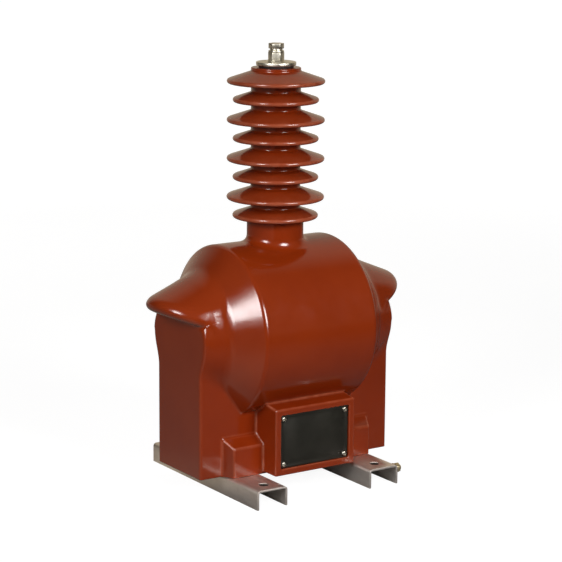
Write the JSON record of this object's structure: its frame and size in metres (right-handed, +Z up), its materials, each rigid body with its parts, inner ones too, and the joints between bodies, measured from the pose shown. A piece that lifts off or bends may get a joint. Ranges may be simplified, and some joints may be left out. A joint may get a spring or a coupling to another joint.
{
  "type": "outdoor voltage transformer",
  "caption": "Resin-cast outdoor voltage transformer: ribbed bushing on a lying barrel with hooded ends, boxed base with a covered terminal box, on mounting channels.",
  "frame": {"origin": "centre of the footprint of the two channels, on the ground", "axes": "+X along the barrel, -Y towards the terminal box, +Z up along the bushing"},
  "size_m": [0.411, 0.286, 0.631],
  "materials": {
    "resin": "glossy red-brown casting resin",
    "stainless": "bent stainless sheet, mill finish with smudges",
    "tinned": "tin-plated, slightly warm",
    "zinc_steel": "zinc-plated steel",
    "brass": "plain brass",
    "cover": "black, half gloss, bare",
    "rubber": "black rubber",
    "core_steel": "wound strip, inside the casting",
    "copper": "enamelled copper wire, inside the casting",
    "board": "pressed board, inside the casting"
  },
  "bodies": {
    "root": {"core_half_left": "core_steel", "core_half_right": "core_steel", "core_strap": "zinc_steel", "strap_clip": "zinc_steel", "winding_tube": "board", "secondary_winding": "copper", "residual_winding": "copper", "barrier_tube": "board", "primary_winding": "copper", "primary_lead": "copper", "primary_insert": "brass", "secondary_leads": "copper", "secondary_studs": "brass", "mounting_inserts": "zinc_steel", "cover_inserts": "brass", "cast_body": "resin", "secondary_washers": "brass", "secondary_nuts": "brass", "cable_grommet": "rubber", "cover_gasket": "rubber", "terminal_cover": "cover", "cover_screws": "zinc_steel", "terminal_gasket": "rubber", "terminal_disc": "tinned", "terminal_post": "tinned", "terminal_washer": "tinned", "terminal_spring_washer": "tinned", "terminal_bolt": "tinned", "left_channel": "stainless", "right_channel": "stainless", "channel_washers": "zinc_steel", "channel_spring_washers": "zinc_steel", "channel_bolts": "zinc_steel", "earth_stud": "brass", "earth_washer": "brass", "earth_spring_washer": "brass", "earth_nut": "brass"}
  },
  "joints": []
}
